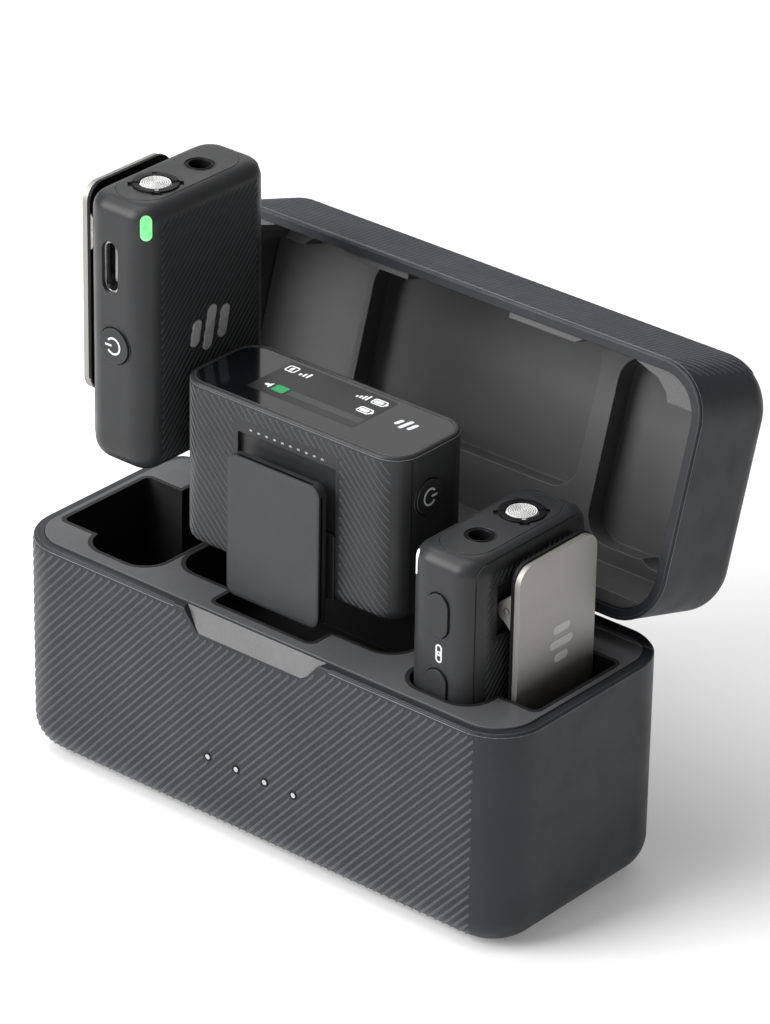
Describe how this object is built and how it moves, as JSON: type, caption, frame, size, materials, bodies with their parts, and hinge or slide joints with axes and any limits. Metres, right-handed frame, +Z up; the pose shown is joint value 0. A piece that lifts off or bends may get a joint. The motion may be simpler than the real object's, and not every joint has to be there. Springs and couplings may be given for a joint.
{
  "type": "wireless microphone kit",
  "caption": "Charging case with a hinged lid that stores and charges clip-on wireless microphone transmitters and their receiver.",
  "frame": {"origin": "middle of the case's bottom face, on the table", "axes": "+X along the case to the right transmitter, +Y towards the hinge, +Z up"},
  "size_m": [0.105, 0.0674, 0.1032],
  "materials": {
    "graphite_plastic": "fine satin texture",
    "tray_plastic": "satin",
    "liner_plastic": "satin",
    "pocket_plastic": "matt",
    "device_plastic": "satin",
    "receiver_plastic": "satin",
    "key_plastic": "satin",
    "shoe_metal": "fine bead blast",
    "clip_steel": "brushed",
    "bright_steel": "polished",
    "contact_gold": "plated",
    "board_green": "solder mask",
    "cell_foil": "foil",
    "magnet_metal": "plated",
    "screen_glass": "polished",
    "display_panel": "gloss",
    "light_lens": "translucent",
    "white_mesh": "woven mesh",
    "black_plastic": "matt"
  },
  "bodies": {
    "case": {"case_shell": "graphite_plastic", "case_tray": "tray_plastic", "pocket_left": "pocket_plastic", "pocket_right": "pocket_plastic", "pocket_receiver": "pocket_plastic", "case_battery": "cell_foil", "case_board": "board_green", "charge_pins": "contact_gold", "case_usb_port": "bright_steel", "case_lights": "light_lens", "case_magnets": "magnet_metal", "hinge_bracket": "graphite_plastic", "hinge_pin": "bright_steel"},
    "lid": {"lid_shell": "graphite_plastic", "lid_liner": "liner_plastic", "lid_magnets": "magnet_metal", "lid_knuckles": "graphite_plastic"},
    "receiver": {"rx_shell": "receiver_plastic", "rx_glass": "screen_glass", "rx_display": "display_panel", "rx_board": "board_green", "rx_battery": "cell_foil", "rx_usb_port": "bright_steel", "rx_jack_socket": "black_plastic", "rx_charge_pads": "contact_gold"},
    "receiver_power_key": {"rx_power_button": "key_plastic"},
    "shoe_mount": {"rx_shoe_mount": "shoe_metal"},
    "left_transmitter": {"tx1_front_shell": "device_plastic", "tx1_rear_cover": "device_plastic", "tx1_top_plate": "device_plastic", "tx1_mic_capsule": "white_mesh", "tx1_jack_socket": "black_plastic", "tx1_status_lights": "light_lens", "tx1_usb_port": "bright_steel", "tx1_clip_pin": "bright_steel", "tx1_clip_spring": "bright_steel", "tx1_battery": "cell_foil", "tx1_circuit_board": "board_green", "tx1_charge_pads": "contact_gold"},
    "left_transmitter_power_key": {"tx1_power_button": "key_plastic"},
    "left_transmitter_record_key": {"tx1_record_button": "key_plastic"},
    "left_transmitter_link_key": {"tx1_link_button": "key_plastic"},
    "left_transmitter_clip": {"tx1_clip": "clip_steel"},
    "right_transmitter": {"tx2_front_shell": "device_plastic", "tx2_rear_cover": "device_plastic", "tx2_top_plate": "device_plastic", "tx2_mic_capsule": "white_mesh", "tx2_jack_socket": "black_plastic", "tx2_status_lights": "light_lens", "tx2_usb_port": "bright_steel", "tx2_clip_pin": "bright_steel", "tx2_clip_spring": "bright_steel", "tx2_battery": "cell_foil", "tx2_circuit_board": "board_green", "tx2_charge_pads": "contact_gold"},
    "right_transmitter_power_key": {"tx2_power_button": "key_plastic"},
    "right_transmitter_record_key": {"tx2_record_button": "key_plastic"},
    "right_transmitter_link_key": {"tx2_link_button": "key_plastic"},
    "right_transmitter_clip": {"tx2_clip": "clip_steel"}
  },
  "joints": [
    {"name": "lid_hinge", "type": "hinge", "parent": "case", "child": "lid", "pos_m": [0, 0.01995, 0.0443], "axis": [-1, 0, 0], "range_deg": [-17, 0]},
    {"name": "left_transmitter_lift", "type": "slide", "parent": "case", "child": "left_transmitter", "axis": [0, 0, 1], "range_m": [-0.046, 0.01]},
    {"name": "right_transmitter_lift", "type": "slide", "parent": "case", "child": "right_transmitter", "axis": [0, 0, 1], "range_m": [-0.0069, 0.045]},
    {"name": "receiver_lift", "type": "slide", "parent": "case", "child": "receiver", "axis": [0, 0, 1], "range_m": [-0.0174, 0.02]},
    {"name": "shoe_mount_slide", "type": "slide", "parent": "receiver", "child": "shoe_mount", "axis": [0, 0, 1], "range_m": [0, 0.008]},
    {"name": "receiver_power_press", "type": "slide", "parent": "receiver", "child": "receiver_power_key", "axis": [-1, 0, 0], "range_m": [0, 0.0003], "stiffness_N_per_m": 600, "springref_m": -0.0012},
    {"name": "left_transmitter_clip_hinge", "type": "hinge", "parent": "left_transmitter", "child": "left_transmitter_clip", "pos_m": [-0.0422, -0.001, 0.0937], "axis": [0, 1, 0], "range_deg": [0, 8], "stiffness_Nm_per_rad": 0.03, "springref_deg": -17.19},
    {"name": "left_transmitter_power_press", "type": "slide", "parent": "left_transmitter", "child": "left_transmitter_power_key", "axis": [0, 1, 0], "range_m": [0, 0.0003], "stiffness_N_per_m": 600, "springref_m": -0.0012},
    {"name": "left_transmitter_record_press", "type": "slide", "parent": "left_transmitter", "child": "left_transmitter_record_key", "axis": [0, -1, 0], "range_m": [0, 0.0003], "stiffness_N_per_m": 600, "springref_m": -0.0012},
    {"name": "left_transmitter_link_press", "type": "slide", "parent": "left_transmitter", "child": "left_transmitter_link_key", "axis": [0, -1, 0], "range_m": [0, 0.0003], "stiffness_N_per_m": 600, "springref_m": -0.0012},
    {"name": "right_transmitter_clip_hinge", "type": "hinge", "parent": "right_transmitter", "child": "right_transmitter_clip", "pos_m": [0.0422, -0.001, 0.0546], "axis": [0, -1, 0], "range_deg": [0, 8], "stiffness_Nm_per_rad": 0.03, "springref_deg": -17.19},
    {"name": "right_transmitter_power_press", "type": "slide", "parent": "right_transmitter", "child": "right_transmitter_power_key", "axis": [0, -1, 0], "range_m": [0, 0.0003], "stiffness_N_per_m": 600, "springref_m": -0.0012},
    {"name": "right_transmitter_record_press", "type": "slide", "parent": "right_transmitter", "child": "right_transmitter_record_key", "axis": [0, 1, 0], "range_m": [0, 0.0003], "stiffness_N_per_m": 600, "springref_m": -0.0012},
    {"name": "right_transmitter_link_press", "type": "slide", "parent": "right_transmitter", "child": "right_transmitter_link_key", "axis": [0, 1, 0], "range_m": [0, 0.0003], "stiffness_N_per_m": 600, "springref_m": -0.0012}
  ]
}
